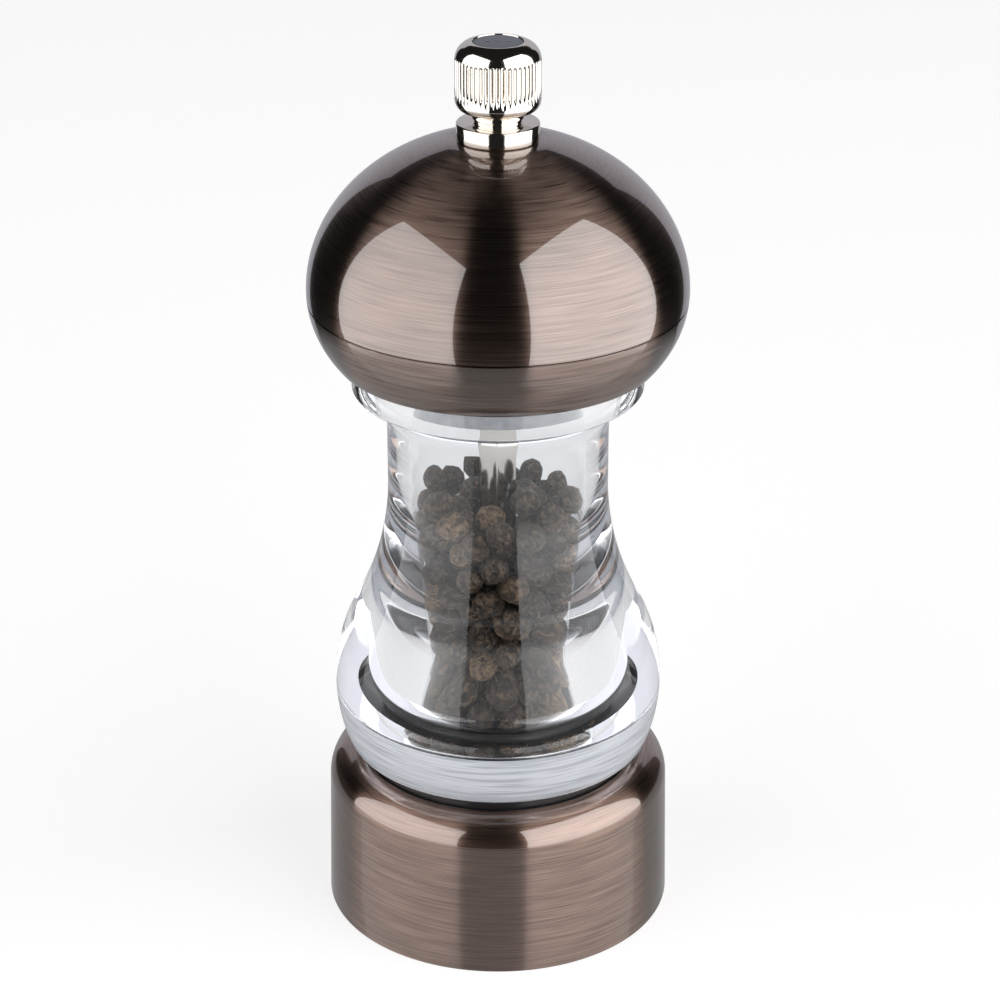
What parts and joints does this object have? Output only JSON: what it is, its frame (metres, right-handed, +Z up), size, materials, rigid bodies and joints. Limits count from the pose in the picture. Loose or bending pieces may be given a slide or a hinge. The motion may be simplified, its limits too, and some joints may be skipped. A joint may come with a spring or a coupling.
{
  "type": "pepper mill",
  "caption": "Hand pepper mill with a clear belly-shaped body, a brushed metal base and a domed metal head that turns, with a fluted knob that sets the grind.",
  "frame": {"origin": "on the mill's axis, on the surface that the base stands on", "axes": "+Z up along the mill's axis from the base to the knob; the retainer bridge lies along X, and the head turns about Z"},
  "size_m": [0.0576, 0.0576, 0.142],
  "materials": {
    "clear_acrylic": "thick clear moulded acrylic, polished",
    "antique_copper": "dark antique copper plate, brushed round the head and lacquered",
    "antique_copper_base": "antique copper plate, brushed round the sleeve and lacquered",
    "black_plastic": "glossy black moulded plastic",
    "grey_plastic": "grey moulded plastic",
    "white_nylon": "white low-friction plastic",
    "grinder_ceramic": "off-white fired ceramic",
    "zinc_steel": "zinc-plated pressed steel",
    "screw_steel": "bright plated screws",
    "spring_steel": "drawn spring steel",
    "satin_bar": "drawn satin bar",
    "polished_nickel": "warm polished nickel plate",
    "badge_enamel": "dark slate enamel inlay",
    "peppercorn": "dry wrinkled black peppercorns"
  },
  "bodies": {
    "mill_body": {"acrylic_body": "clear_acrylic", "base_shell": "antique_copper_base", "base_core": "black_plastic", "stator_housing": "black_plastic", "stator_ring": "grinder_ceramic", "retainer_bridge": "zinc_steel", "bridge_screws": "screw_steel", "spring": "spring_steel", "peppercorns": "peppercorn"},
    "head_ring": {"glide_ring": "white_nylon"},
    "head": {"head_dome_shell": "antique_copper", "head_skirt_shell": "antique_copper", "head_core": "grey_plastic", "drive_plate": "zinc_steel", "drive_plate_screws": "screw_steel"},
    "knob": {"knob": "polished_nickel", "knob_badge": "badge_enamel"},
    "spring_seat": {"thrust_washer": "white_nylon"},
    "shaft": {"shaft": "satin_bar", "shaft_clip": "spring_steel", "rotor_hub": "black_plastic", "rotor_cone": "grinder_ceramic"}
  },
  "joints": [
    {"name": "head_lift", "type": "slide", "parent": "mill_body", "child": "head_ring", "axis": [0, 0, 1], "range_m": [0, 0.06]},
    {"name": "head_turn", "type": "hinge", "parent": "head_ring", "child": "head", "pos_m": [0, 0, 0.093], "axis": [0, 0, 1], "continuous": true},
    {"name": "knob_turn", "type": "hinge", "parent": "head", "child": "knob", "pos_m": [0, 0, 0.1273], "axis": [0, 0, 1], "range_deg": [0, 540]},
    {"name": "grind_adjust", "type": "slide", "parent": "mill_body", "child": "spring_seat", "axis": [0, 0, 1], "range_m": [-0.00121, 0], "deforming": ["spring"]},
    {"name": "shaft_turn", "type": "hinge", "parent": "spring_seat", "child": "shaft", "pos_m": [0, 0, 0.02], "axis": [0, 0, 1], "continuous": true}
  ],
  "couplings": [
    {"joint": "grind_adjust", "follows": "knob_turn", "m_per_rad": -0.00012732},
    {"joint": "shaft_turn", "follows": "head_turn", "ratio": 1}
  ]
}
